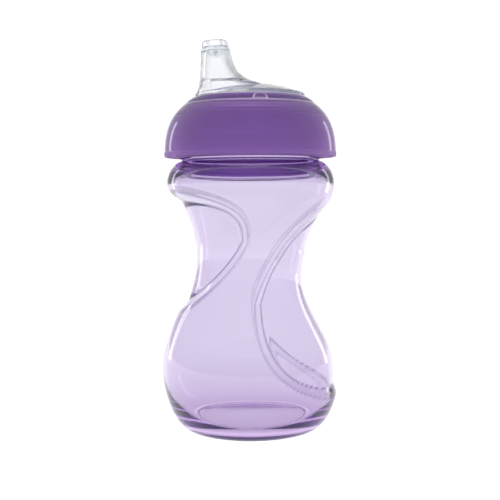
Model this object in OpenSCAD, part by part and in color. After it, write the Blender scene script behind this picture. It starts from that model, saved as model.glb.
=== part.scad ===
// Sippy cup: a squeeze-waist bottle with two grip panels, a screw lid and a one-piece soft spout.
// Millimetres. +Z is up, the origin is the centre of the foot on the table, the spout stands on -X
// and the XZ plane is the plane of symmetry, apart from the thread and the lid's thumb tab.

/* [Bottle] */
// Radius of the bulge under the neck
shoulder_r = 37; // [36:0.5:37.5]
// Height of that bulge
shoulder_z = 108.5; // [107:0.5:109]
// Radius of the waist between the grip panels
waist_r = 26; // [25:0.5:27]
// Height of the waist
waist_z = 77; // [75:1:79]
// Radius of the belly
belly_r = 39.7; // [38.5:0.1:40]
// Height of the belly
belly_z = 25.5; // [24:0.5:27]
// Outer radius of the ring that the cup stands on
foot_r = 28.8; // [28.2:0.1:29.2]
// Inner radius of that ring, which is the edge of the recess under the base
foot_inner_r = 24.7; // [24:0.1:25.5]
// Wall thickness of the body
wall = 1.5; // [1.3:0.1:1.7]
// Thickness of the floor
floor_t = 2.2; // [2:0.1:2.6]

/* [Grip panels] */
// Smallest radius inside the thumb panel, which is on the spout's side
thumb_r = 24; // [23.5:0.1:24.5]
// Smallest radius inside the palm panel, which is on the far side
palm_r = 22.3; // [21.8:0.1:23]
// Width of the slope from the body down to a panel's floor
panel_slope = 3; // [2.6:0.1:4]
// Least depth of a panel
panel_step = 2; // [1:0.1:2.2]

/* [Neck and thread] */
// Bore of the neck
neck_bore_r = 27; // [26.8:0.1:27]
// Outer radius of the neck under the thread
neck_r = 28.9; // [28.7:0.1:29]
// Outer radius of the thread and of the bead below it
thread_r = 30.4; // [30.2:0.1:30.5]
// Rise of the thread in one turn
thread_lead = 4.5; // [4:0.5:4.5]
// Height of the bottle's rim
rim_z = 138.6; // [138.4:0.1:138.8]

/* [Lid] */
// Radius of the lid's lower edge
lid_r = 37.9; // [37.6:0.1:38.4]
// Height of the lid's lower edge
lid_z = 119.6; // [119.4:0.1:120]
// Thickness of the lid's outer shell
lid_wall = 2; // [1.8:0.1:2.2]
// Angle of the thumb tab round the lid, from -Y towards +X
tab_angle = 8.5; // [0:0.5:45]

/* [Spout] */
// Radius of the clear dome where it leaves the lid
dome_r = 24.2; // [24:0.1:24.2]
// Height of the top of the dome
dome_top_z = 151.8; // [151.4:0.1:152.2]
// Height of the spout's tip
tip_z = 169.4; // [168:0.1:173]
// Width of the spout's tip across the lips
tip_width = 25; // [22:0.5:27]
// Wall thickness of the soft spout
soft_wall = 1.8; // [1.6:0.1:2]
// Length of the drinking slit
slit_length = 9; // [6:0.5:11]

/* [Hidden] */

bottle_colour = [0.80, 0.74, 0.92, 0.6];
lid_colour = [0.40, 0.24, 0.58, 0.9];
soft_colour = [0.90, 0.94, 0.97, 0.6];

round_fn = 96;
overlap = 0.4;
running_gap = 0.3;

// ---- Curves ----

function ease(t) = (1 - cos(180 * min(1, max(0, t)))) / 2;
function mix(a, b, t) = a + (b - a) * t;
// Radius of an hourglass at height z. Each other argument is a [radius, height].
function hourglass(z, top, waist, bottom) =
    z > waist[1]
        ? mix(waist[0], top[0], ease((z - waist[1]) / (top[1] - waist[1])))
        : mix(waist[0], bottom[0], ease((waist[1] - z) / (waist[1] - bottom[1])));
// One quarter of a rounded corner, 1 at t = 0 and 0 at t = 1. A power of 2 is a circle.
function corner(t, power) = pow(max(0, 1 - pow(min(1, max(0, t)), power)), 1 / power);
// A point at t on the cubic curve with control points p.
function bezier(p, t) =
    pow(1 - t, 3) * p[0] + 3 * t * pow(1 - t, 2) * p[1] + 3 * t * t * (1 - t) * p[2] + pow(t, 3) * p[3];
function curve(p, steps) = [for (i = [0 : steps]) bezier(p, i / steps)];

// ---- Bottle body ----

foot_power = 1.7;
neck_power = 1.8;
neck_join_z = 117.7;
inner_shoulder_z = 107.5;
inner_join_z = 115.8;
foot_start_r = foot_r - 0.4;
body_bottom_z = 1.2;
floor_z = body_bottom_z + floor_t;

// Radius of the body without its panels.
function body_r(z) =
    z < belly_z
        ? foot_start_r + (belly_r - foot_start_r) * corner((belly_z - z) / belly_z, foot_power)
    : z > shoulder_z
        ? thread_r
            + (shoulder_r - thread_r) * corner((z - shoulder_z) / (neck_join_z - shoulder_z), neck_power)
        : hourglass(z, [shoulder_r, shoulder_z], [waist_r, waist_z], [belly_r, belly_z]);

// A panel is a leaf shape wrapped round one side. Its points nearly meet the other panel's in the middle
// of the front and the back. One edge between the points is full and the other is swept, and the palm
// panel has them the other way up: [side, half angle, height of the points, upper edge, lower edge, waist,
// top, bottom], where an edge is [reach, power round the body, power up the body].
thumb_panel = [
    -1, 87.5, 83.5,
    [19.3, 3.2, 3],
    [30, 1.7, 1.25],
    [thumb_r, 77.5], [34.3, 117], [34.5, 28]
];
palm_panel = [
    1, 87, 57.5,
    [41, 1.7, 1.25],
    [41, 2.9, 2.6],
    [palm_r, 67.5], [34.5, 107.5], [36.4, 25.5]
];
panels = [thumb_panel, palm_panel];

mean_r = 31;
// How far a point is inside a panel's edge, in mm over the surface. u is the angle from the panel's middle.
function panel_reach(panel, u, z) =
    let (
        edge = z > panel[2] ? panel[3] : panel[4],
        a = abs(u) / panel[1],
        b = abs(z - panel[2]) / edge[0],
        slope_a = edge[1] * pow(a, edge[1] - 1) / (panel[1] * PI / 180 * mean_r),
        slope_b = edge[2] * pow(b, edge[2] - 1) / edge[0]
    )
    (1 - pow(a, edge[1]) - pow(b, edge[2])) / max(0.01, norm([slope_a, slope_b]));
function panel_depth(panel, angle, z) =
    let (
        u = (angle - 90 * panel[0] + 540) % 360 - 180,
        reach = abs(u) < panel[1] ? panel_reach(panel, u, z) : 0,
        depth = max(panel_step, body_r(z) - hourglass(z, panel[6], panel[5], panel[7])),
        facing = max(0, cos(u)),
        lead_in = 2 * facing * facing
    )
    ease((reach + lead_in) / (panel_slope + lead_in)) * depth * mix(0.3, 1, sqrt(facing));
// Radius of the finished body. The angle runs from -Y towards +X.
function skin_r(angle, z) = body_r(z) - panel_depth(panels[0], angle, z) - panel_depth(panels[1], angle, z);

// The inside follows the outside, and thickens into the neck and the floor.
bore_top_r = neck_bore_r + 0.2;
function bore_r(angle, z) =
    z > inner_shoulder_z
        ? mix(bore_top_r, shoulder_r - wall,
            corner((z - inner_shoulder_z) / (inner_join_z - inner_shoulder_z), neck_power))
    : z < 10
        ? skin_r(angle, z) - mix(wall * 2, wall, (z - floor_z) / (10 - floor_z))
        : skin_r(angle, z) - wall;

around = 72;
outer_levels = concat(
    [body_bottom_z, 2.4, 4.2, 6.6, 9.6, 13, 16, 18.5, 21.5],
    [for (i = [0 : 19]) 25 + i * 4.1],
    [106, 109, 111.8, 114, 115.8, 117, 117.9]
);
inner_levels = concat(
    [117.9, 115.8, 115.4, 114.3, 112.5, 110, 107.5],
    [for (i = [19 : -1 : 0]) 25 + i * 4.1],
    [21.5, 18.5, 16, 13, 9.6, 6.6, 4.8, floor_z]
);

function ring_point(radius, angle, z) = [radius * sin(angle), -radius * cos(angle), z];
function outer_r(angle, z) = z > neck_join_z ? thread_r - overlap : skin_r(angle, z);
function inner_r(angle, z) = z > inner_join_z - 0.1 ? bore_top_r : bore_r(angle, z);

// A closed skin through rings of equal length, with a centre point at each end.
module ring_skin(rings) {
    count = len(rings[0]);
    last = len(rings) - 1;
    first_centre = (last + 1) * count;
    centre = function (ring) [for (k = [0 : 2]) [for (p = ring) 1] * [for (p = ring) p[k]] / count];
    points = concat([for (ring = rings) each ring], [centre(rings[0]), centre(rings[last])]);
    sides = [
        for (i = [0 : last - 1], j = [0 : count - 1])
            let (k = (j + 1) % count)
            each [
                [i * count + j, (i + 1) * count + k, i * count + k],
                [i * count + j, (i + 1) * count + j, (i + 1) * count + k]
            ]
    ];
    ends = [
        for (j = [0 : count - 1])
            let (k = (j + 1) % count)
            each [
                [first_centre, j, k],
                [first_centre + 1, last * count + k, last * count + j]
            ]
    ];
    polyhedron(points = points, faces = concat(sides, ends), convexity = 8);
}

module body_shell() {
    angles = [for (i = [0 : around - 1]) i * 360 / around];
    outer = [for (z = outer_levels) [for (a = angles) ring_point(outer_r(a, z), a, z)]];
    inner = [for (z = inner_levels) [for (a = angles) ring_point(inner_r(a, z), a, z)]];
    ring_skin(concat(outer, inner));
}

module foot_ring() {
    rotate_extrude($fn = round_fn)
        polygon([
            [foot_inner_r, 0], [foot_r, 0], [foot_r + 0.9, 0.9], [foot_r + 1.3, body_bottom_z + 1],
            [foot_inner_r - 1.2, body_bottom_z + 1], [foot_inner_r - 1.2, body_bottom_z - 0.2]
        ]);
}

// ---- Thread ----

thread_steps = 36;
bottle_thread_turns = 1.5;
lid_thread_turns = 1.25;
bottle_thread_z = 124.3;
// The lid's ridge bears on the underside of the bottle's.
lid_thread_z = bottle_thread_z + thread_lead - 1.7;
ridge_root = 2.0;
ridge_crest = 1.0;

// A ridge of a right-hand thread. It runs out to nothing over a twelfth of a turn at each end.
module thread_ridge(root_r, crest_r, turns, start_z, start_angle) {
    count = round(turns * thread_steps);
    run_out = thread_steps / 12;
    rings = [
        for (i = [0 : count])
            let (
                angle = start_angle + i * 360 / thread_steps,
                z = start_z + i * thread_lead / thread_steps,
                full = min(1, min(i, count - i) / run_out + 0.1),
                crest = mix(root_r, crest_r, full),
                sign = crest_r > root_r ? 1 : -1,
                profile = [
                    [root_r - sign * overlap, -ridge_root / 2], [crest, -ridge_crest / 2 * full],
                    [crest, ridge_crest / 2 * full], [root_r - sign * overlap, ridge_root / 2]
                ],
                ordered = [for (k = [0 : 3]) profile[sign > 0 ? 3 - k : k]]
            )
            [for (p = ordered) [p[0] * cos(angle), p[0] * sin(angle), z + p[1]]]
    ];
    ring_skin(rings);
}

module neck() {
    rotate_extrude($fn = round_fn)
        polygon([
            [neck_bore_r, 116.6], [thread_r, 116.6], [thread_r, 118.5], [neck_r, 119.5],
            [neck_r, rim_z - 0.6], [neck_r - 0.6, rim_z],
            [neck_bore_r + 0.5, rim_z], [neck_bore_r, rim_z - 0.5]
        ]);
    thread_ridge(neck_r, thread_r, bottle_thread_turns, bottle_thread_z, 0);
}

module bottle() {
    color(bottle_colour) union() {
        body_shell();
        foot_ring();
        neck();
    }
}

// ---- Lid ----

shelf_r = 29.3;
shelf_z = 142.4;
shelf_step = 0.5;
hole_r = dome_r + running_gap;
hole_top_z = 145.7;
skirt_in_r = thread_r + running_gap;
skirt_out_r = skirt_in_r + 1.8;
skirt_z = lid_z - 0.2;
seat_z = rim_z + 2.4;
shell_curve = [[lid_r, lid_z + 1.6], [lid_r - 0.1, 130.5], [35.6, 137.3], [shelf_r, shelf_z]];
band_curve = [
    [shelf_r - shelf_step, shelf_z - 0.1], [shelf_r - 1, shelf_z + 1.2],
    [hole_r + 2.1, hole_top_z - 0.8], [hole_r + 0.3, hole_top_z]
];

// The dome shell with the shelf that a travel cap would sit on, as a half section.
module lid_section() {
    outer = concat(
        [[lid_r - 1.6, lid_z], [lid_r - 0.5, lid_z + 0.3], [lid_r, lid_z + 1]],
        curve(shell_curve, 12), curve(band_curve, 5)
    );
    inner = concat(
        [[hole_r, hole_top_z - 0.5], [hole_r, hole_top_z - lid_wall], [skirt_in_r - 3, shelf_z - 0.6]],
        [[skirt_in_r - 3, seat_z], [skirt_in_r - 1.3, seat_z], [skirt_in_r, seat_z - 0.6]],
        [[skirt_in_r, skirt_z], [skirt_in_r + 0.5, skirt_z - 0.4], [skirt_out_r - 0.3, skirt_z - 0.4]],
        [[skirt_out_r, skirt_z], [skirt_out_r, 136]],
        [for (i = [7 : -1 : 0]) bezier(shell_curve, i / 12) - [lid_wall, i * 0.08]],
        [[lid_r - lid_wall, lid_z + 0.6]]
    );
    polygon(concat(outer, inner));
}

// Raised half-disc that stands over the shelf, for a thumb to push a cap off.
module thumb_tab() {
    tab_r = 3.5;
    intersection() {
        rotate_extrude($fn = round_fn)
            polygon(concat(
                [for (p = curve(band_curve, 5)) p + [0.45, 0.65]], [[hole_r + 0.6, hole_top_z - 1.5]],
                [[shelf_r - shelf_step, shelf_z - 1.5]]
            ));
        rotate([90, 0, tab_angle])
            translate([0, shelf_z - 0.5, 20])
                cylinder(r = tab_r, h = 20, $fn = 48);
    }
}

module lid() {
    color(lid_colour) union() {
        rotate_extrude($fn = round_fn) lid_section();
        thread_ridge(skirt_in_r, neck_r + running_gap + 0.1, lid_thread_turns, lid_thread_z - thread_lead, 0);
        thumb_tab();
    }
}

// ---- Spout ----

sphere_r = 65;
sphere_z = dome_top_z - sphere_r;
flange_r = neck_r - 0.3;
flange_z = rim_z + 0.1;
flange_top_z = seat_z - 0.1;
plug_r = neck_bore_r - 0.35;
plug_z = rim_z - 2.6;
tip_lean = tan(3);
membrane_z = tip_z - 4.2;
membrane_t = 1.2;
tip_inset = 0.35;
tip_step_z = tip_z - 3.4;
section_power = 2.8;
section_count = 40;
valve_drop = 1.5;
valve_half = 0.8;
slit_gap = 0.24;

function dome_z(r, radius) = sphere_z + sqrt(radius * radius - r * r);
// Outline of the spout at height z: [near the edge of the lid, towards the middle, half width].
flare = 7.9;
flare_decay = 3.6;
flare_z = 152.5;
function flare_at(z) = flare * exp((flare_z - z) / flare_decay);
function spout_left(z) = -21.4 - 0.02 * (tip_z - z) - 0.045 * flare_at(z);
function spout_right(z) = min(6, -9 + 0.12 * (tip_z - z) + flare_at(z));
function spout_half(z) = min(19, tip_width / 2 + 0.13 * (tip_z - z) + 0.45 * flare_at(z));
function section_ring(z, inset) =
    let (
        left = spout_left(z) + inset,
        right = spout_right(z + inset / 2) - inset,
        middle = (left + right) / 2,
        half_x = (right - left) / 2,
        half_y = spout_half(z + inset / 2) - inset,
        lean = tip_lean * min(1, max(0, (z - flare_z) / 8))
    )
    [
        for (i = [0 : section_count - 1])
            let (
                angle = i * 360 / section_count,
                x = half_x * sign(cos(angle)) * pow(abs(cos(angle)), 2 / section_power),
                y = half_y * sign(sin(angle)) * pow(abs(sin(angle)), 2 / section_power)
            )
            [middle + x, y, z + x * lean]
    ];
slit_x = (spout_left(membrane_z) + spout_right(membrane_z)) / 2;

module spout_skin(levels, inset) {
    ring_skin([for (z = levels) section_ring(z, inset)]);
}

arc_steps = 12;
function dome_arc(reach, radius) =
    [for (i = [0 : arc_steps]) let (r = reach * i / arc_steps) [r, dome_z(r, radius)]];

// The dome with the flange that the lid clamps and the plug that seals in the neck, all filled in.
module dome_solid() {
    rotate_extrude($fn = round_fn)
        polygon(concat(
            dome_arc(dome_r, sphere_r),
            [[dome_r, flange_top_z], [flange_r, flange_top_z], [flange_r, flange_z]],
            [[plug_r, flange_z], [plug_r, plug_z], [0, plug_z]]
        ));
}

module dome_hollow() {
    in_r = dome_r - soft_wall;
    plug_in_r = plug_r - 1.6;
    rotate_extrude($fn = round_fn)
        polygon(concat(
            dome_arc(in_r, sphere_r - soft_wall),
            [[in_r, flange_z + 1], [plug_in_r, flange_z - 0.2], [plug_in_r, plug_z - 1], [0, plug_z - 1]]
        ));
}

// A stretch of the tube that stays inside a radius where it runs into the dome.
module clipped_skin(levels, inset, limit_r) {
    intersection() {
        spout_skin(levels, inset);
        translate([0, 0, 140]) cylinder(r = limit_r, h = 30, $fn = round_fn);
    }
}

// The dome, the tube and the tip, with the channel through them and the closed end in the tip.
module spout_tube() {
    outer_levels = [146.4, 148.4, 150, 151.2, 152.2, 153.4, 155, 157.4, 160.5, 164, tip_step_z - 0.3];
    channel_levels = [144, 149, 150.5, 151.8, 153.2, 154.8, 157.2, 160.5, 163.5, membrane_z];
    difference() {
        union() {
            dome_solid();
            clipped_skin(outer_levels, 0, dome_r - 0.05);
            spout_skin([tip_step_z - 0.4, tip_step_z, tip_z - 0.9], tip_inset);
            spout_skin([tip_z - 1, tip_z - 0.4, tip_z], tip_inset + 0.4);
        }
        dome_hollow();
        clipped_skin(channel_levels, soft_wall, dome_r - soft_wall - 0.1);
        spout_skin([membrane_z + membrane_t, tip_z + 1], soft_wall + 0.1);
    }
}

// The lips under the closed end that keep the slit shut until a child bites or sucks.
module valve_lips() {
    height = valve_drop + 0.2;
    translate([slit_x, 0, membrane_z - valve_drop]) {
        translate([-valve_half, -slit_length / 2, 0]) cube([2 * valve_half, slit_length, height]);
        for (y = [-slit_length / 2, slit_length / 2])
            translate([0, y, 0]) cylinder(r = valve_half, h = height, $fn = 24);
    }
}

module spout() {
    color(soft_colour) difference() {
        union() {
            spout_tube();
            valve_lips();
        }
        translate([slit_x - slit_gap / 2, -slit_length / 2, membrane_z - valve_drop - 1])
            cube([slit_gap, slit_length, valve_drop + membrane_t + 2]);
    }
}

bottle();
lid();
spout();
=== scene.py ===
"""Sippy cup: squeeze-waist bottle, screw lid and soft spout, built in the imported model's frame.

Shapes are worked out in millimetres from the same curves as the CAD model, and written in metres.
"""
import math

import bpy
import numpy as np
from mathutils import Matrix, Vector

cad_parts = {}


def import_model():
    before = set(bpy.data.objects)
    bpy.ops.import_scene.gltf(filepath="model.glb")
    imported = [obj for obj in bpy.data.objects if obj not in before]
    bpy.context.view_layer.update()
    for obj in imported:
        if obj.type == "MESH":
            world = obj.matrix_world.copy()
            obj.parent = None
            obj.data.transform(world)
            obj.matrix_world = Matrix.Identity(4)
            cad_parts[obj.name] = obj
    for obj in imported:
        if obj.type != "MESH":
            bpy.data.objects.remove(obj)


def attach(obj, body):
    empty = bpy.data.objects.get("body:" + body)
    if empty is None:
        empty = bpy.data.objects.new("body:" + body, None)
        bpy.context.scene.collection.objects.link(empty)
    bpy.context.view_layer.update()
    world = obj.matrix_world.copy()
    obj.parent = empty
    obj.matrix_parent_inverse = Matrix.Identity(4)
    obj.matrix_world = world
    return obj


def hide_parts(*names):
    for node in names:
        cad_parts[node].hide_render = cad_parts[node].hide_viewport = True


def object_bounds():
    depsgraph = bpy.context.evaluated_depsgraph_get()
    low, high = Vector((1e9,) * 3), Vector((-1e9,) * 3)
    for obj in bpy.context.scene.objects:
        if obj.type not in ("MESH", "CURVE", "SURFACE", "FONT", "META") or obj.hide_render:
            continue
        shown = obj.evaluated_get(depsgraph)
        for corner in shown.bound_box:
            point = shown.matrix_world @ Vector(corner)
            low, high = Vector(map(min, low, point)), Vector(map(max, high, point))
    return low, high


MM = 0.001


# ---- Curves, shared by the pieces ----

def ease(t):
    """Half a cosine wave, from 0 at t = 0 to 1 at t = 1."""
    return (1 - np.cos(np.pi * np.clip(t, 0, 1))) / 2


def corner(t, power):
    """One quarter of a rounded corner, 1 at t = 0 and 0 at t = 1."""
    return np.maximum(0, 1 - np.clip(t, 0, 1) ** power) ** (1 / power)


def soft_ramp(t, start, end):
    """0 below t = 0 and 1 above t = 1, straight between, with its two ends rounded."""
    return (np.sqrt(t ** 2 + start ** 2) - np.sqrt((t - 1) ** 2 + end ** 2) + 1) / 2


def hourglass(z, top, waist, bottom):
    """Radius at height z of a waisted curve. Each other argument is a (radius, height)."""
    above = waist[0] + (top[0] - waist[0]) * ease((z - waist[1]) / (top[1] - waist[1]))
    below = waist[0] + (bottom[0] - waist[0]) * ease((waist[1] - z) / (waist[1] - bottom[1]))
    return np.where(z > waist[1], above, below)


def bezier(points, count):
    """A cubic curve through count + 1 points."""
    t = np.linspace(0, 1, count + 1)[:, None]
    a, b, c, d = (np.array(p, float) for p in points)
    return (1 - t) ** 3 * a + 3 * t * (1 - t) ** 2 * b + 3 * t * t * (1 - t) * c + t ** 3 * d


def fillet(points, radius, steps=5):
    """Rounds each inner corner of an open line of (r, z) points."""
    points = [np.array(p, float) for p in points]
    out = [points[0]]
    for before, here, after in zip(points, points[1:], points[2:]):
        to_before, to_after = before - here, after - here
        cut = min(radius, 0.45 * np.linalg.norm(to_before), 0.45 * np.linalg.norm(to_after))
        start = here + to_before / np.linalg.norm(to_before) * cut
        end = here + to_after / np.linalg.norm(to_after) * cut
        for t in np.linspace(0, 1, steps):
            out.append((1 - t) ** 2 * start + 2 * t * (1 - t) * here + t * t * end)
    out.append(points[-1])
    return out


def refine(points, step):
    """Adds points to a line so that no gap is over step."""
    out = [np.array(points[0], float)]
    for here, after in zip(points, points[1:]):
        count = max(1, math.ceil(np.linalg.norm(np.array(after) - np.array(here)) / step))
        out += [here + (np.array(after) - here) * (i + 1) / count for i in range(count)]
    return out


# ---- Meshes ----

def ring(radius, angles, z):
    """A ring of points. Angles run from -Y towards +X."""
    radius, z = np.broadcast_to(radius, angles.shape), np.broadcast_to(z, angles.shape)
    return np.stack([radius * np.sin(angles), -radius * np.cos(angles), z], -1)


def loft(name, rings, closed):
    """A mesh through rings of equal length, in mm. It closes on itself, or ends in a fan at each end.

    Seen from the side that the rings advance to, each one runs anticlockwise round its solid.
    """
    rings = np.array(rings)
    count, around = rings.shape[:2]
    points = rings.reshape(-1, 3)
    rows = np.arange(count if closed else count - 1)
    i, j = np.meshgrid(rows, np.arange(around), indexing="ij")
    up, along = (i + 1) % count, (j + 1) % around
    quads = np.stack([i * around + j, i * around + along, up * around + along, up * around + j], -1)
    faces = [tuple(face) for face in quads.reshape(-1, 4).tolist()]
    if not closed:
        first, last = len(points), len(points) + 1
        points = np.vstack([points, rings[0].mean(0), rings[-1].mean(0)])
        base = (count - 1) * around
        for k in range(around):
            after = (k + 1) % around
            faces.append((first, after, k))
            faces.append((last, base + k, base + after))
    mesh = bpy.data.meshes.new(name)
    mesh.from_pydata((points * MM).tolist(), [], faces)
    mesh.polygons.foreach_set("use_smooth", [True] * len(mesh.polygons))
    mesh.update()
    piece = bpy.data.objects.new(name, mesh)
    bpy.context.scene.collection.objects.link(piece)
    return piece


def point_values(piece, name, values):
    """Stores one number for each point, for a material to read."""
    layer = piece.data.attributes.new(name, "FLOAT", "POINT")
    layer.data.foreach_set("value", np.ravel(values))


# ---- Bottle ----

# In mm. A pair is (radius, height), and names in _R and _Z are radii and heights.
SHOULDER, WAIST, BELLY = (37.0, 108.5), (26.0, 77.0), (39.7, 25.5)
FOOT_R, FOOT_INNER_R, RECESS_Z, FLOOR_Z, FLOOR_R = 28.4, 25.2, 1.2, 3.4, 25.5
WALL = 1.5
NECK_JOIN_Z, INNER_SHOULDER_Z, INNER_JOIN_Z, RIM_Z = 117.7, 107.5, 115.8, 138.6
NECK_BORE_R, NECK_R, THREAD_R = 27.0, 28.9, 30.4
THREAD_LEAD, THREAD_Z, THREAD_TURNS = 4.5, 124.3, 1.5
# How softly the two ends of a panel's slope are rounded, as a share of the slope.
OUTER_ROUNDING, INNER_ROUNDING = 0.05, 0.3
# Side, half angle and height of its points; reach and two powers of its upper and its lower edge;
# then the waist, top and bottom of the hourglass that its floor follows.
THUMB_PANEL = (-1, 87.5, 83.5, (19.3, 3.2, 3), (30, 1.7, 1.25), (24, 77.5), (34.3, 117), (34.5, 28))
PALM_PANEL = (1, 87, 57.5, (41, 1.7, 1.25), (41, 2.9, 2.6), (22.3, 67.5), (34.5, 107.5), (36.4, 25.5))
# Width of the slope, least depth at its foot, extra width facing the side, and the mean body radius.
PANEL_SLOPE, PANEL_STEP, PANEL_LEAD_IN, MEAN_R = 3.0, 2.0, 2.0, 31
# Share of the depth left a quarter turn from a panel's middle, and extra rounding at its middle.
PANEL_SIDE_DEPTH, FACING_ROUNDING = 0.3, 0.25
# Any value far below 0 stands for the side of the cup that a panel isn't on.
OFF_PANEL = -9
# Half width of the painted shade line along a fold, as a share of the slope, and how strong the upper
# line is.
FOLD_WIDTH, TOP_FOLD = 0.11, 0.6
# Half width and flank of the thread in mm. It runs out in one part in RIDGE_RUN_OUT of a turn.
RIDGE_HALF_WIDTH, RIDGE_FLANK, RIDGE_RUN_OUT = 1.05, 0.5, 12


def body_r(z):
    """Radius of the body without its panels."""
    radius = hourglass(z, SHOULDER, WAIST, BELLY)
    foot = FOOT_R + (BELLY[0] - FOOT_R) * corner((BELLY[1] - z) / BELLY[1], 1.7)
    top = (z - SHOULDER[1]) / (NECK_JOIN_Z - SHOULDER[1])
    neck = THREAD_R + (SHOULDER[0] - THREAD_R) * corner(top, 1.8)
    return np.where(z < BELLY[1], foot, np.where(z > SHOULDER[1], neck, radius))


def panel_reach(panel, u, z):
    """How far a point is inside a panel's edge, in mm over the surface; negative outside."""
    _, half, middle, upper, lower = panel[:5]
    reach, p, q = (np.where(z > middle, a, b) for a, b in zip(upper, lower))
    a, b = np.abs(u) / half, np.abs(z - middle) / reach
    slope_a = p * a ** (p - 1) / (math.radians(half) * MEAN_R)
    slope_b = q * b ** (q - 1) / reach
    return (1 - a ** p - b ** q) / np.maximum(0.01, np.hypot(slope_a, slope_b))


def panel_slope(panel, degrees, z):
    """How far down the slope into a panel a point is, and how squarely it faces the panel's side.

    The first is 0 at the top of the slope and 1 at its foot, and OFF_PANEL on the cup's other side.
    """
    u = (degrees - 90 * panel[0] + 540) % 360 - 180
    facing = np.maximum(0, np.cos(np.radians(u)))
    lead_in = PANEL_LEAD_IN * facing ** 2
    way = (panel_reach(panel, u, z) + lead_in) / (PANEL_SLOPE + lead_in)
    return np.where(np.abs(u) < 100, way, OFF_PANEL), facing


def panel_depth(panel, degrees, z, rounding):
    """How deep the panel is pressed in at a point."""
    way, facing = panel_slope(panel, degrees, z)
    depth = np.maximum(PANEL_STEP, body_r(z) - hourglass(z, panel[6], panel[5], panel[7]))
    inside = soft_ramp(way, rounding + FACING_ROUNDING * facing ** 2, rounding)
    share = PANEL_SIDE_DEPTH + (1 - PANEL_SIDE_DEPTH) * np.sqrt(facing)
    return np.where(way > OFF_PANEL, inside * depth * share, 0)


def fold(way):
    """1 where way is 0, and close to 0 a little to each side."""
    return np.exp(-(way / FOLD_WIDTH) ** 2)


def fold_shade_mask(angles, z):
    """Where fold shade is painted: 1 along the foot of each panel's slope and less along its top, and
    0 elsewhere.
    """
    ways = [panel_slope(p, np.degrees(angles), z)[0] for p in (THUMB_PANEL, PALM_PANEL)]
    return sum(TOP_FOLD * fold(way) + fold(way - 1) for way in ways)


def panels(angles, z, rounding):
    """How deep both panels together are pressed in at height z, all round."""
    degrees = np.degrees(angles)
    return sum(panel_depth(p, degrees, z, rounding) for p in (THUMB_PANEL, PALM_PANEL))


def ridge(angles, z, start, turns):
    """How raised a right-hand thread is, from 0 to 1. It starts at +X and runs out at both ends."""
    turn = (angles / (2 * np.pi) - 0.25) % 1
    raised = np.zeros_like(angles)
    for k in range(math.ceil(turns) + 1):
        along = turn + k
        away = np.abs(z - start - THREAD_LEAD * along)
        run_out = np.clip(np.minimum(along, turns - along) * RIDGE_RUN_OUT, 0, 1)
        profile = np.clip((RIDGE_HALF_WIDTH - away) / RIDGE_FLANK, 0, 1)
        raised = np.maximum(raised, run_out * profile)
    return ease(raised)


def inner_body_r(z):
    """Radius of the inside without the panels."""
    slope = (body_r(z + 0.05) - body_r(z - 0.05)) / 0.1
    middle = body_r(z) - WALL * np.sqrt(1 + np.minimum(slope ** 2, 1))
    low = FLOOR_R + (BELLY[0] - WALL - FLOOR_R) * corner((BELLY[1] - z) / (BELLY[1] - FLOOR_Z), 1.8)
    top = (z - INNER_SHOULDER_Z) / (INNER_JOIN_Z - INNER_SHOULDER_Z)
    high = NECK_BORE_R + (SHOULDER[0] - WALL - NECK_BORE_R) * corner(top, 1.8)
    return np.where(z < BELLY[1], low, np.where(z > INNER_SHOULDER_Z, high, middle))


def make_bottle():
    """One skin: under the base, up the outside, over the rim and down the inside to the floor."""
    angles = np.linspace(0, 2 * np.pi, 384, endpoint=False)
    quarter = np.linspace(0, np.pi / 2, 40)
    low = BELLY[1] * (1 - np.cos(quarter))
    middle = np.arange(BELLY[1] + 0.5, SHOULDER[1] - 0.1, 0.5)
    high = SHOULDER[1] + (NECK_JOIN_Z - SHOULDER[1]) * np.sin(quarter)
    recess = [(r, RECESS_Z + 0.9 * (1 - (r / 24) ** 2)) for r in (3, 8, 13, 18, 21.5)]
    recess += fillet([(23.4, RECESS_Z), (24.6, RECESS_Z), (FOOT_INNER_R, 0), (27.9, 0)], 0.5)
    rings = [ring(r, angles, z) for r, z in recess]
    outer_levels = [*low, *middle, *high[:-1]]
    rings += [ring(body_r(z) - panels(angles, z, OUTER_ROUNDING), angles, z) for z in outer_levels]
    neck = fillet([(THREAD_R, 117.9), (THREAD_R, 118.6), (NECK_R, 119.6), (NECK_R, RIM_Z),
                   (NECK_BORE_R, RIM_Z), (NECK_BORE_R, 120)], 0.6)
    for r, z in refine(neck, 0.3):
        thread = ridge(angles, z, THREAD_Z, THREAD_TURNS) if r > 28.2 else 0
        rings.append(ring(r + (THREAD_R - NECK_R) * thread, angles, z))
    inner_high = INNER_SHOULDER_Z + (INNER_JOIN_Z - INNER_SHOULDER_Z) * np.sin(quarter)
    inner_low = FLOOR_Z + (BELLY[1] - FLOOR_Z) * (1 - np.cos(quarter))
    for z in [*inner_high[::-1], *middle[middle < INNER_SHOULDER_Z][::-1], *inner_low[::-1]]:
        rings.append(ring(inner_body_r(z) - panels(angles, z, INNER_ROUNDING), angles, z))
    rings += [ring(r, angles, FLOOR_Z) for r in (24.5, 22, 18, 12, 6, 2)]
    piece = loft("bottle_clear", rings, closed=False)
    fold_shade = np.zeros((len(rings), len(angles)))
    outside = slice(len(recess), len(recess) + len(outer_levels))
    fold_shade[outside] = [fold_shade_mask(angles, z) for z in outer_levels]
    fan_middles = (0, 0)
    # Painted shade: the bottle's material darkens it along these folds.
    point_values(piece, "line", np.append(fold_shade, fan_middles))
    return piece


# ---- Lid ----

LID_R, LID_Z, SHELF_R, SHELF_Z, LID_WALL = 37.9, 119.6, 29.3, 142.4, 2.0
HOLE_R, HOLE_TOP_Z = 24.5, 145.7
SKIRT_IN_R, SKIRT_OUT_R, SKIRT_Z, SEAT_Z = 30.7, 32.5, 119.4, 141.0
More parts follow.
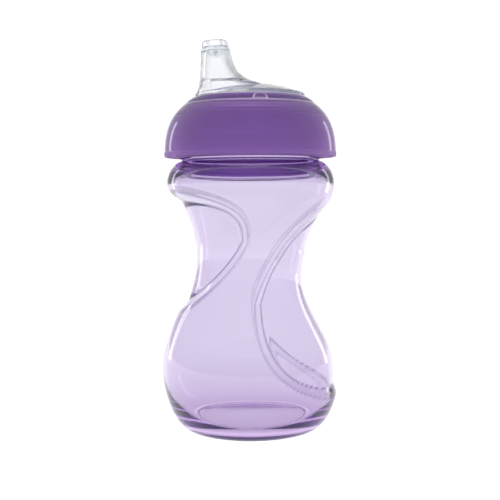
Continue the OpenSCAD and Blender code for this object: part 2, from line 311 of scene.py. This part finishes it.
# The thread stands inwards from the skirt, one turn and a quarter, just under the bottle's.
LID_THREAD_DEPTH, LID_THREAD_Z, LID_THREAD_TURNS = 1.4, THREAD_Z - 1.7, 1.25
TAB_ANGLE, TAB_R, TAB_RISE, TAB_SLOPE, TAB_DROP = math.radians(8.5), 3.5, 0.9, 1.1, 0.5
# How far the tab stands out and up, as shares of its rise.
TAB_OUT, TAB_UP = 0.5, 0.8
# Kinds of line in the lid's outline.
SHELL, BAND, INSIDE = 0, 1, 2
# Values of the lid's "tone", which its material turns into colour and clearness: painted shade, the
# plain plastic and a painted highlight.
PAINTED_SHADE_TONE, PLAIN_TONE, PAINTED_HIGHLIGHT_TONE = 0.0, 0.5, 1.0


def tab_rise(angles, r, z):
    """The raised half-disc that a thumb pushes a cap off with."""
    across = r * ((angles - TAB_ANGLE + np.pi) % (2 * np.pi) - np.pi)
    away = np.hypot(across, z - SHELF_Z + TAB_DROP)
    return TAB_RISE * soft_ramp((TAB_R - away) / TAB_SLOPE, 0.15, 0.15)


def lid_outline():
    """Closed outline as (r, z, kind). The thumb tab is on the BAND, round the hole."""
    shell = bezier([(LID_R, LID_Z + 1.6), (LID_R - 0.1, 130.5), (35.6, 137.3), (SHELF_R, SHELF_Z)], 48)
    band = bezier([(SHELF_R - 0.55, SHELF_Z + 0.05), (SHELF_R - 1, SHELF_Z + 1.2),
                   (HOLE_R + 2.1, HOLE_TOP_Z - 0.8), (HOLE_R + 0.4, HOLE_TOP_Z)], 36)
    lip = fillet([(LID_R - LID_WALL, LID_Z + 3), (LID_R - LID_WALL, LID_Z), (LID_R, LID_Z),
                  (LID_R, LID_Z + 1.7)], 0.9, 8)
    hole = refine(fillet([band[-1], (HOLE_R, HOLE_TOP_Z - 0.1), (HOLE_R, HOLE_TOP_Z - LID_WALL),
                          (27.7, SHELF_Z - 0.6), (27.7, SEAT_Z), (SKIRT_IN_R, SEAT_Z),
                          (SKIRT_IN_R, SEAT_Z - 1)], 0.3), 0.5)
    skirt = refine([(SKIRT_IN_R, SEAT_Z - 1.2), (SKIRT_IN_R, SKIRT_Z + 0.6)], 0.3)
    skirt_foot = fillet([(SKIRT_IN_R, SKIRT_Z + 0.5), (SKIRT_IN_R + 0.3, SKIRT_Z - 0.3),
                         (SKIRT_OUT_R, SKIRT_Z - 0.3), (SKIRT_OUT_R, 124)], 0.4)
    back = [(SKIRT_OUT_R, z) for z in np.linspace(125, 136, 12)]
    inside = bezier([(LID_R - LID_WALL, LID_Z + 3.4), (LID_R - LID_WALL - 0.1, 129.5),
                     (34, 135.4), (SKIRT_OUT_R + 0.35, 136.9)], 24)[::-1]
    parts = [(lip, INSIDE), (shell[1:], SHELL), (band, BAND)]
    parts += [(line, INSIDE) for line in (hole[1:], skirt, skirt_foot, back, inside[:-1])]
    return [(p[0], p[1], kind) for points, kind in parts for p in points]


def lid_tone(on_tab, z, kind):
    """Painted shade on the band, a painted highlight along the shelf, the tab and the hole, and plain
    elsewhere.
    """
    if kind != BAND:
        on_shelf = kind == SHELL and z > SHELF_Z - 0.15
        return np.full(on_tab.shape, PAINTED_HIGHLIGHT_TONE if on_shelf else PLAIN_TONE)
    if z > HOLE_TOP_Z - 0.5:
        return np.full(on_tab.shape, PAINTED_HIGHLIGHT_TONE)
    tab_edge_highlight = np.clip(1.8 - np.abs(on_tab - 0.5) / 0.25, 0, 1)
    beside_tab = PAINTED_HIGHLIGHT_TONE if z < SHELF_Z + 0.25 else PAINTED_SHADE_TONE
    return np.maximum(beside_tab * (1 - on_tab), PLAIN_TONE * on_tab + tab_edge_highlight)


def make_lid():
    """The outline turned round the axis, with the thumb tab and the inner thread added."""
    angles = np.linspace(0, 2 * np.pi, 480, endpoint=False)
    rings, tones, insides = [], [], []
    for r, z, kind in lid_outline():
        rise = tab_rise(angles, r, z) if kind == BAND else np.zeros_like(angles)
        thread = 0
        if r == SKIRT_IN_R:
            thread = LID_THREAD_DEPTH * ridge(angles, z, LID_THREAD_Z, LID_THREAD_TURNS)
        rings.append(ring(r + TAB_OUT * rise - thread, angles, z + TAB_UP * rise))
        tones.append(lid_tone(rise / TAB_RISE, z, kind))
        insides.append(np.full(angles.shape, float(kind == INSIDE)))
    piece = loft("lid_shell", rings, closed=True)
    point_values(piece, "tone", tones)
    point_values(piece, "inside", insides)
    return piece


# ---- Spout ----

DOME_R, DOME_TOP_Z, SPHERE_R, SOFT_WALL = 24.2, 151.8, 65.0, 1.8
FLANGE_R, FLANGE_Z, FLANGE_TOP_Z, PLUG_R, PLUG_Z = 28.6, 138.7, 140.9, 26.65, 136.0
TIP_Z, TIP_WIDTH, TIP_LEAN = 169.4, 25.0, math.tan(math.radians(3))
MEMBRANE_Z, MEMBRANE_T, TIP_INSET, TIP_STEP_Z = 165.2, 1.2, 0.35, 166.0
FLARE, FLARE_DECAY, FLARE_Z, SECTION_POWER = 7.9, 3.6, 152.5, 2.8
# Half the length and half the opening of the drinking slit.
SLIT_HALF, SLIT_GAP_HALF = 4.5, 0.12


def dome_z(r, drop=0.0):
    """Height of the dome's outside at radius r, or of its inside with drop as the wall."""
    return DOME_TOP_Z - SPHERE_R + np.sqrt((SPHERE_R - drop) ** 2 - np.minimum(r, 40) ** 2)


def flare_at(z):
    """How far the tube spreads at height z as it runs out into the dome."""
    return np.exp((FLARE_Z - z) / FLARE_DECAY) * FLARE


def tube_points(phi, z, inset):
    """Points of the tube's outline at height z, which may differ from point to point.

    A rounded oblong between its left and right side in the plane of symmetry, leaning with height.
    """
    up = z + inset / 2
    left = -21.4 - 0.02 * (TIP_Z - z) - 0.045 * flare_at(z) + inset
    right = np.minimum(6, -9 + 0.12 * (TIP_Z - up) + flare_at(up)) - inset
    half_y = np.minimum(19, TIP_WIDTH / 2 + 0.13 * (TIP_Z - up) + 0.45 * flare_at(up)) - inset
    power = 2 / SECTION_POWER
    x = (right - left) / 2 * np.sign(np.cos(phi)) * np.abs(np.cos(phi)) ** power
    y = half_y * np.sign(np.sin(phi)) * np.abs(np.sin(phi)) ** power
    middle = (left + right) / 2
    lean = TIP_LEAN * np.clip((z - FLARE_Z) / 8, 0, 1)
    limit = DOME_R - 0.1 - inset
    r = np.hypot(middle + x, y)
    scale = np.minimum(1, limit / r)
    return np.stack([(middle + x) * scale, y * scale, z + x * lean], -1)


def tube_foot(phi, inset):
    """Heights at which the tube meets the dome, one for each point round it."""
    z = np.full(phi.shape, 151.0)
    for _ in range(60):
        points = tube_points(phi, z, inset)
        z = 0.5 * z + 0.5 * dome_z(np.hypot(points[:, 0], points[:, 1]), inset)
    return z


def tube(phi, inset, top, count):
    """Rings down the tube from height top to the dome, closer together towards the dome."""
    foot = tube_foot(phi, inset)
    return [tube_points(phi, top + (foot - top) * s, inset) for s in np.linspace(0, 1, count) ** 0.8]


def on_dome(phi, start, radius, count, drop):
    """Rings over the dome from the ring start to the circle of that radius."""
    end = np.stack([radius * np.cos(phi), radius * np.sin(phi)], -1)
    rings = []
    for s in np.linspace(0, 1, count + 1)[1:]:
        xy = start[:, :2] * (1 - s) + end * s
        rings.append(np.column_stack([xy, dome_z(np.hypot(xy[:, 0], xy[:, 1]), drop)]))
    return rings


def slit_ring(phi, half_x, half_y, z):
    """A flat oval round the drinking slit."""
    middle = (tube_points(phi, np.full(phi.shape, z), 0)[:, 0]).mean()
    x, y = half_x * np.cos(phi), half_y * np.sin(phi)
    return np.stack([middle + x, y, z + x * TIP_LEAN], -1)


def round_ring(phi, r, z):
    """A level circle, with its points in the order of the tube's."""
    return np.stack([r * np.cos(phi), r * np.sin(phi), np.full(phi.shape, float(z))], -1)


def tip_rings(phi):
    """From the top of the slit over the dished membrane and the lip to the outside of the tip."""
    top = MEMBRANE_Z + MEMBRANE_T
    level = lambda z, inset: tube_points(phi, np.full(phi.shape, z), inset)
    rings = [slit_ring(phi, SLIT_GAP_HALF, SLIT_HALF, top)]
    dish = level(top, SOFT_WALL + 0.5)
    rings += [rings[0] * (1 - s) + dish * s for s in (0.06, 0.2, 0.5, 0.8, 1)]
    rings += [level(z, inset) for z, inset in (
        (top + 0.12, SOFT_WALL + 0.2), (top + 0.5, SOFT_WALL + 0.1), (168.4, SOFT_WALL + 0.1),
        (169.0, SOFT_WALL), (169.3, SOFT_WALL - 0.25), (TIP_Z, SOFT_WALL - 0.6), (TIP_Z, 1.0),
        (169.3, 0.7), (169.05, 0.48), (168.6, TIP_INSET), (167.5, TIP_INSET),
        (TIP_STEP_Z + 0.25, TIP_INSET), (TIP_STEP_Z + 0.05, 0.3), (TIP_STEP_Z - 0.2, 0.05))]
    return rings


def valve_rings(phi):
    """From the channel's top over the membrane's underside to the lips of the slit valve."""
    under = tube_points(phi, np.full(phi.shape, MEMBRANE_Z), SOFT_WALL + 0.6)
    lip = slit_ring(phi, 1.3, SLIT_HALF + 0.9, MEMBRANE_Z)
    rings = [tube_points(phi, np.full(phi.shape, MEMBRANE_Z - 0.2), SOFT_WALL + 0.15), under]
    rings += [under * (1 - s) + lip * s for s in (0.4, 0.75, 1)]
    rings += [slit_ring(phi, x, y, z) for x, y, z in (
        (1.05, SLIT_HALF + 0.7, 164.7), (0.75, SLIT_HALF + 0.5, 163.9), (0.5, SLIT_HALF + 0.35, 163.7),
        (SLIT_GAP_HALF, SLIT_HALF, 163.7), (SLIT_GAP_HALF, SLIT_HALF, 164.6),
        (SLIT_GAP_HALF, SLIT_HALF, 165.6))]
    return rings


def make_spout():
    """One skin: tip, tube and dome outside, flange, plug, then dome, channel and valve inside."""
    phi = np.linspace(0, 2 * np.pi, 256, endpoint=False)
    rings = tip_rings(phi)
    rings += tube(phi, 0, TIP_STEP_Z - 0.5, 56)
    rings += on_dome(phi, rings[-1], DOME_R - 0.25, 18, 0)
    edge_z, in_r = float(dome_z(DOME_R)), DOME_R - SOFT_WALL
    flange = fillet([(DOME_R - 0.1, edge_z), (DOME_R, edge_z - 0.3), (DOME_R, FLANGE_TOP_Z),
                     (FLANGE_R, FLANGE_TOP_Z), (FLANGE_R, FLANGE_Z), (PLUG_R, FLANGE_Z),
                     (PLUG_R, PLUG_Z), (PLUG_R - 1.6, PLUG_Z), (PLUG_R - 1.6, FLANGE_Z - 0.2),
                     (in_r, FLANGE_Z + 1), (in_r, 145)], 0.35)
    rings += [round_ring(phi, r, z) for r, z in refine(flange, 0.8)]
    inner = tube(phi, SOFT_WALL, MEMBRANE_Z - 0.8, 40)[::-1]
    rings += on_dome(phi, inner[0], in_r - 0.1, 14, SOFT_WALL)[::-1]
    rings += inner
    rings += valve_rings(phi)
    return loft("spout_soft", rings[::-1], closed=True)


# ---- Materials ----

def shader(name, **values):
    """A Principled material. Each value is set on the shader's own socket.

    Where a node is linked to that socket later, the value is what a reader without nodes sees.
    """
    material = bpy.data.materials.new(name)
    material.use_nodes = True
    node = material.node_tree.nodes["Principled BSDF"]
    for socket, value in values.items():
        node.inputs[socket.replace("_", " ")].default_value = value
    return material, material.node_tree, node


def noise(tree, scale, detail=3.0):
    """Smooth random cloudiness, scale waves to the metre."""
    place = tree.nodes.new("ShaderNodeTexCoord")
    node = tree.nodes.new("ShaderNodeTexNoise")
    node.inputs["Scale"].default_value = scale
    node.inputs["Detail"].default_value = detail
    tree.links.new(place.outputs["Object"], node.inputs["Vector"])
    return node.outputs["Fac"]


def spread(tree, source, low, high):
    """Maps a noise value, which is mostly from 0.3 to 0.7, to the range low to high."""
    node = tree.nodes.new("ShaderNodeMapRange")
    node.inputs["From Min"].default_value = 0.3
    node.inputs["From Max"].default_value = 0.7
    node.inputs["To Min"].default_value = low
    node.inputs["To Max"].default_value = high
    tree.links.new(source, node.inputs["Value"])
    return node.outputs["Result"]


def ramp(tree, source, stops):
    """Turns a value into a colour. Each stop is a position and a colour."""
    node = tree.nodes.new("ShaderNodeValToRGB")
    elements = node.color_ramp.elements
    while len(elements) < len(stops):
        elements.new(0.5)
    for element, (position, colour) in zip(elements, stops):
        element.position, element.color = position, (*colour, 1)
    tree.links.new(source, node.inputs["Fac"])
    return node.outputs["Color"]


def attribute(tree, name):
    """The number that point_values stored under that name."""
    node = tree.nodes.new("ShaderNodeAttribute")
    node.attribute_name = name
    return node.outputs["Fac"]


def waviness(tree, shader_node, source, strength, distance):
    """The slight unevenness of a moulded surface. distance is in metres."""
    bump = tree.nodes.new("ShaderNodeBump")
    bump.inputs["Strength"].default_value = strength
    bump.inputs["Distance"].default_value = distance
    tree.links.new(source, bump.inputs["Height"])
    tree.links.new(bump.outputs["Normal"], shader_node.inputs["Normal"])


# Keeps the most absorbed colour of a clear material above black.
COLOUR_MARGIN = 1.25


def absorb(tree, per_metre):
    """Tints the inside of a clear material. per_metre is what each colour loses in a metre."""
    density = max(per_metre) * COLOUR_MARGIN
    node = tree.nodes.new("ShaderNodeVolumeAbsorption")
    node.inputs["Color"].default_value = (*(1 - loss / density for loss in per_metre), 1)
    node.inputs["Density"].default_value = density
    tree.links.new(node.outputs["Volume"], tree.nodes["Material Output"].inputs["Volume"])


def height(tree, low, high):
    """0 at the height low and 1 at the height high, in metres."""
    split = tree.nodes.new("ShaderNodeSeparateXYZ")
    tree.links.new(tree.nodes.new("ShaderNodeTexCoord").outputs["Object"], split.inputs["Vector"])
    node = tree.nodes.new("ShaderNodeMapRange")
    node.inputs["From Min"].default_value, node.inputs["From Max"].default_value = low, high
    tree.links.new(split.outputs["Z"], node.inputs["Value"])
    return node.outputs["Result"]


# Colour of the painted shade along the folds.
PAINTED_FOLD_SHADE = (0.1, 0.06, 0.26, 1)
# Painted shade: the tint deepens towards the base, over these heights in metres, for light that passes
# through the thick base.
BASE_SHADE_HEIGHTS = (0.002, 0.034)
BOTTLE_TINT_AND_BASE_SHADE = ((0, (0.75, 0.69, 0.82)), (1, (0.835, 0.82, 0.90)))


def paint_fold_shade(tree, tint):
    """Paints shade along the folds round the grip panels: a darker tint where the clear plastic looks
    dark.
    """
    node = tree.nodes.new("ShaderNodeMix")
    node.data_type = "RGBA"
    sockets = {socket.identifier: socket for socket in node.inputs}
    tree.links.new(attribute(tree, "line"), sockets["Factor_Float"])
    tree.links.new(tint, sockets["A_Color"])
    sockets["B_Color"].default_value = PAINTED_FOLD_SHADE
    return next(socket for socket in node.outputs if socket.identifier == "Result_Color")


def bottle_plastic():
    """Clear and polished, with a lavender tint."""
    material, tree, node = shader("bottle_plastic", Base_Color=(0.83, 0.80, 0.90, 1), Roughness=0.03,
                                  IOR=1.5, Transmission_Weight=1.0)
    # The plastic's own tint, with painted shade deepening it towards the base.
    tint = ramp(tree, height(tree, *BASE_SHADE_HEIGHTS), BOTTLE_TINT_AND_BASE_SHADE)
    # Painted shade along the panel folds, over the tint.
    tree.links.new(paint_fold_shade(tree, tint), node.inputs["Base Color"])
    tree.links.new(spread(tree, noise(tree, 90), 0.015, 0.045), node.inputs["Roughness"])
    waviness(tree, node, noise(tree, 45, 2), 0.25, 0.0004)
    absorb(tree, (36, 60, 22))
    return material


def matt_inside(tree, polished, matt):
    """A polished outside, and an inside that keeps the matt finish of its mould."""
    blend = tree.nodes.new("ShaderNodeMapRange")
    tree.links.new(attribute(tree, "inside"), blend.inputs["Value"])
    tree.links.new(polished, blend.inputs["To Min"])
    tree.links.new(matt, blend.inputs["To Max"])
    return blend.outputs["Result"]


def painted_highlight_clearness(tree, tone):
    """How much light goes through: less along the edges, where a highlight is painted, so that they
    show pale.
    """
    node = tree.nodes.new("ShaderNodeMapRange")
    for socket, value in (("From Min", 0.55), ("From Max", 0.9), ("To Min", 0.85), ("To Max", 0.35)):
        node.inputs[socket].default_value = value
    tree.links.new(tone, node.inputs["Value"])
    return node.outputs["Result"]


# Painted shade deepens the band above the shelf, and painted highlights make the plastic paler along
# its edges.
LID_TONES = ((PAINTED_SHADE_TONE, (0.4, 0.2, 0.7)), (PLAIN_TONE, (0.72, 0.43, 0.92)), (PAINTED_HIGHLIGHT_TONE, (1, 0.95, 1)))


def lid_plastic():
    """Translucent purple, polished outside and matt inside."""
    material, tree, node = shader("lid_plastic", Base_Color=(0.66, 0.38, 0.88, 1), Roughness=0.1,
                                  IOR=1.5, Transmission_Weight=0.85)
    cloud = noise(tree, 120)
    dullness = matt_inside(tree, spread(tree, cloud, 0.05, 0.1), spread(tree, cloud, 0.5, 0.6))
    tree.links.new(dullness, node.inputs["Roughness"])
    tone = attribute(tree, "tone")
    # Painted shade and highlights: the tone sets both the colour and how much light goes through.
    tree.links.new(ramp(tree, tone, LID_TONES), node.inputs["Base Color"])
    tree.links.new(painted_highlight_clearness(tree, tone), node.inputs["Transmission Weight"])
    waviness(tree, node, noise(tree, 60, 2), 0.15, 0.0003)
    absorb(tree, (60, 110, 30))
    return material


def spout_silicone():
    """Clear and soft, with a slightly dull surface."""
    material, tree, node = shader("spout_silicone", Base_Color=(0.985, 0.99, 1, 1), Roughness=0.15,
                                  IOR=1.41, Transmission_Weight=0.97)
    tree.links.new(spread(tree, noise(tree, 200), 0.1, 0.2), node.inputs["Roughness"])
    waviness(tree, node, noise(tree, 110, 3), 0.3, 0.0003)
    absorb(tree, (9, 6, 3))
    return material


def floor_paint():
    """White all over, with its own light, and only faint shadows."""
    return shader("floor_paint", Base_Color=(0.25, 0.25, 0.25, 1), Roughness=0.9,
                  Emission_Color=(1, 1, 1, 1), Emission_Strength=1.0)[0]


# ---- Studio ----

# Distances in metres, lens and sensor in mm, and power in watts.
CAMERA_DISTANCE, CAMERA_HEIGHT, CAMERA_LENS, CAMERA_SENSOR = 0.400, 0.1023, 64.8, 36
CAMERA_TILT, CAMERA_ROLL, CAMERA_PAN = math.radians(3.4), math.radians(0.35), math.radians(0.057)
FLOOR_SIZE = 6
LIGHT_X, LIGHT_Y, LIGHT_Z, LIGHT_AIM_Z = 0.45, 0.38, 0.15, 0.09
LIGHT_SIZE, LIGHT_POWER = (0.07, 0.4), 0.2
WORLD_STRENGTH, LIGHT_PATHS = 1.15, 40


def make_camera():
    """In front of the cup, level with its shoulder and tilted a little down."""
    data = bpy.data.cameras.new("camera")
    data.sensor_width, data.lens = CAMERA_SENSOR, CAMERA_LENS
    camera = bpy.data.objects.new("camera", data)
    bpy.context.scene.collection.objects.link(camera)
    turn = Matrix.Rotation(CAMERA_PAN, 4, "Z") @ Matrix.Rotation(math.pi / 2 - CAMERA_TILT, 4, "X")
    place = Matrix.Translation((0, -CAMERA_DISTANCE, CAMERA_HEIGHT))
    camera.matrix_world = place @ turn @ Matrix.Rotation(-CAMERA_ROLL, 4, "Z")
    bpy.context.scene.camera = camera


def make_floor(z):
    """A wide white floor at height z."""
    bpy.ops.mesh.primitive_plane_add(size=FLOOR_SIZE, location=(0, 0, z))
    floor = bpy.context.object
    floor.name = "floor"
    floor.data.materials.append(floor_paint())


def strip_light(name, x):
    """A tall narrow light behind the cup, turned towards it, that edges its side with white."""
    data = bpy.data.lights.new(name, "AREA")
    data.shape, data.energy = "RECTANGLE", LIGHT_POWER
    data.size, data.size_y = LIGHT_SIZE
    light = bpy.data.objects.new(name, data)
    light.location = (x, LIGHT_Y, LIGHT_Z)
    towards = Vector((0, 0, LIGHT_AIM_Z)) - light.location
    light.rotation_euler = towards.to_track_quat("-Z", "Y").to_euler()
    bpy.context.scene.collection.objects.link(light)


# How bright the room is, from behind the camera at 0 to behind the cup at 1. The dim walls in front
# are what the clear edges of the cup refract, and what makes them show on white.
WALL_GREYS = ((0.4, (0.45,) * 3), (0.75, (0.6,) * 3), (0.93, (0.55,) * 3), (0.978, (1.0,) * 3))


def make_world():
    """A room that is white behind the cup and grey elsewhere."""
    world = bpy.data.worlds.new("studio")
    bpy.context.scene.world = world
    world.use_nodes = True
    tree = world.node_tree
    direction = tree.nodes.new("ShaderNodeTexCoord").outputs["Generated"]
    split = tree.nodes.new("ShaderNodeSeparateXYZ")
    backness = tree.nodes.new("ShaderNodeMath")
    backness.operation = "MULTIPLY_ADD"
    backness.inputs[1].default_value = 0.5
    backness.inputs[2].default_value = 0.5
    tree.links.new(direction, split.inputs["Vector"])
    tree.links.new(split.outputs["Y"], backness.inputs[0])
    walls = ramp(tree, backness.outputs[0], WALL_GREYS)
    tree.links.new(walls, tree.nodes["Background"].inputs["Color"])
    tree.nodes["Background"].inputs["Strength"].default_value = WORLD_STRENGTH


def make_studio(low):
    """Camera, room, floor at height low, and lights."""
    make_camera()
    make_world()
    make_floor(low)
    strip_light("left", -LIGHT_X)
    strip_light("right", LIGHT_X)
    scene = bpy.context.scene
    scene.view_settings.view_transform = "Standard"
    scene.cycles.max_bounces = LIGHT_PATHS
    scene.cycles.transmission_bounces = LIGHT_PATHS
    scene.cycles.glossy_bounces = LIGHT_PATHS


# ---- Assembly ----

PIECES = (
    (make_bottle, bottle_plastic, "bottle", "bottle_plastic"),
    (make_lid, lid_plastic, "lid", "lid_plastic"),
    (make_spout, spout_silicone, "spout", "spout_silicone"),
)


def main():
    """The studio, with its floor at the bottom of the CAD model's box, and the three pieces, each in
    place of its CAD node.
    """
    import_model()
    cad_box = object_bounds()
    make_studio(cad_box[0][2])
    for make, material, node, slot in PIECES:
        piece = make()
        piece.data.materials.append(material())
        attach(piece, node)
        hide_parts(node)


main()
